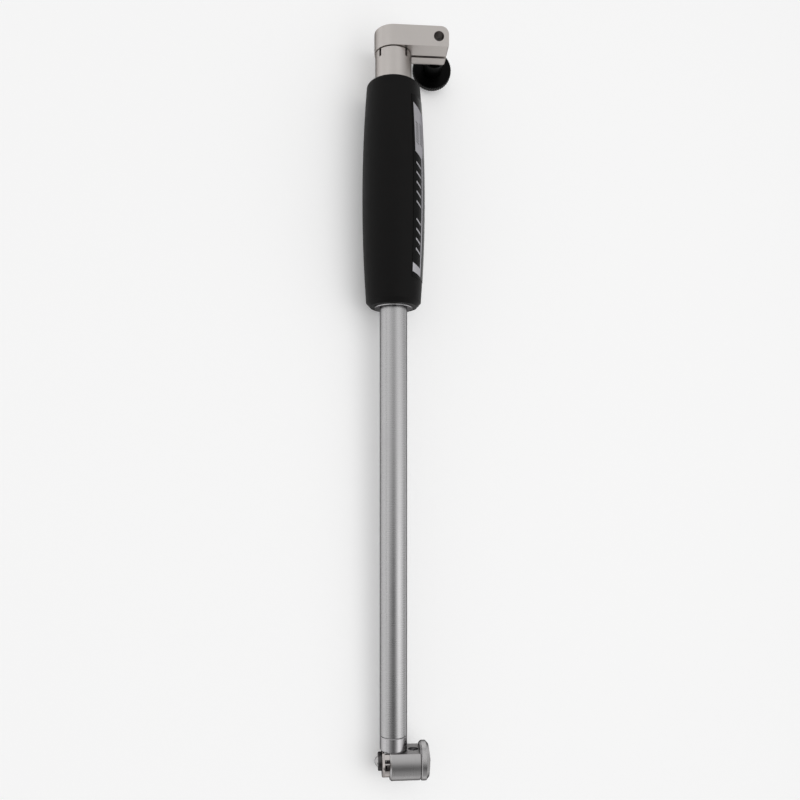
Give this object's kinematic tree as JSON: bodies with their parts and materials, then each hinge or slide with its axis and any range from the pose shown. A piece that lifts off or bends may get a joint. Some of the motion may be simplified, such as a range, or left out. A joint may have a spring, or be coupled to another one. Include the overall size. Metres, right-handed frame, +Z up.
{
  "type": "dial bore gauge body",
  "caption": "Long slender bore gauge body with a sprung measuring head, black barrel grip and a split clamp with a knob for the indicator.",
  "frame": {"origin": "centre of the lying gauge's box, on the surface it lies on", "axes": "+Y along the stem from the measuring head to the indicator clamp, +Z up, the front of the gauge facing up"},
  "size_m": [0.0586, 0.4134, 0.0388],
  "materials": {
    "head_steel": "satin ground steel",
    "nut_steel": "turned satin steel",
    "screw_steel": "plain zinc-plated steel",
    "collar_steel": "fine turned steel",
    "tube_steel": "satin chromed tube",
    "brass_bush": "turned brass",
    "spring_steel": "drawn spring wire",
    "grip_black": "fine matt moulded plastic",
    "ferrule_steel": "turned steel",
    "label_black": "gloss film",
    "stem_nickel": "satin nickel plate",
    "contact_steel": "hardened ground steel",
    "carbide": "polished carbide",
    "rod_steel": "ground rod",
    "bridge_steel": "satin nickel plate",
    "bush_dark": "blackened steel",
    "pin_steel": "ground pin",
    "knob_black": "semi-gloss moulded plastic"
  },
  "bodies": {
    "gauge": {"head_housing": "head_steel", "contact_stop_pin": "head_steel", "cap_nut": "nut_steel", "cap_lock_screw": "screw_steel", "head_collar": "collar_steel", "main_tube": "tube_steel", "lower_rod_bush": "brass_bush", "upper_rod_bush": "brass_bush", "rod_spring": "spring_steel", "grip_sleeve": "grip_black", "grip_ferrule": "ferrule_steel", "grip_label": "label_black", "stem_collet": "stem_nickel", "guide_spring": "spring_steel"},
    "contact": {"contact_plunger": "contact_steel", "contact_ball": "carbide"},
    "rod": {"push_rod": "rod_steel", "rod_tip": "carbide", "rod_head": "rod_steel", "rod_collar": "rod_steel"},
    "guide": {"guide_bridge": "bridge_steel", "guide_bush": "bush_dark", "guide_pin_front": "pin_steel", "guide_pin_rear": "pin_steel"},
    "clamp": {"clamp_bracket": "stem_nickel"},
    "knob": {"clamp_knob": "knob_black", "clamp_screw": "screw_steel"}
  },
  "joints": [
    {"name": "contact_slide", "type": "slide", "parent": "gauge", "child": "contact", "axis": [0.9296, -0.0056, 0.3685], "range_m": [0, 0.0016], "stiffness_N_per_m": 600, "springref_m": -0.003},
    {"name": "rod_slide", "type": "slide", "parent": "gauge", "child": "rod", "axis": [0, 0.9999, 0.0151], "range_m": [0, 0.0016], "deforming": ["rod_spring"]},
    {"name": "guide_slide", "type": "slide", "parent": "gauge", "child": "guide", "axis": [0.9296, -0.0056, 0.3685], "range_m": [0, 0.0015], "stiffness_N_per_m": 900, "springref_m": -0.003, "deforming": ["guide_spring"]},
    {"name": "clamp_swivel", "type": "hinge", "parent": "gauge", "child": "clamp", "pos_m": [-0.01226, 0.18985, 0.01829], "axis": [0, 0.9999, 0.0151], "continuous": true},
    {"name": "knob_turn", "type": "hinge", "parent": "clamp", "child": "knob", "pos_m": [0.01775, 0.19546, 0.00726], "axis": [-0.3686, -0.014, 0.9295], "range_deg": [-540, 90]}
  ],
  "couplings": [
    {"joint": "rod_slide", "follows": "contact_slide", "ratio": 1}
  ]
}
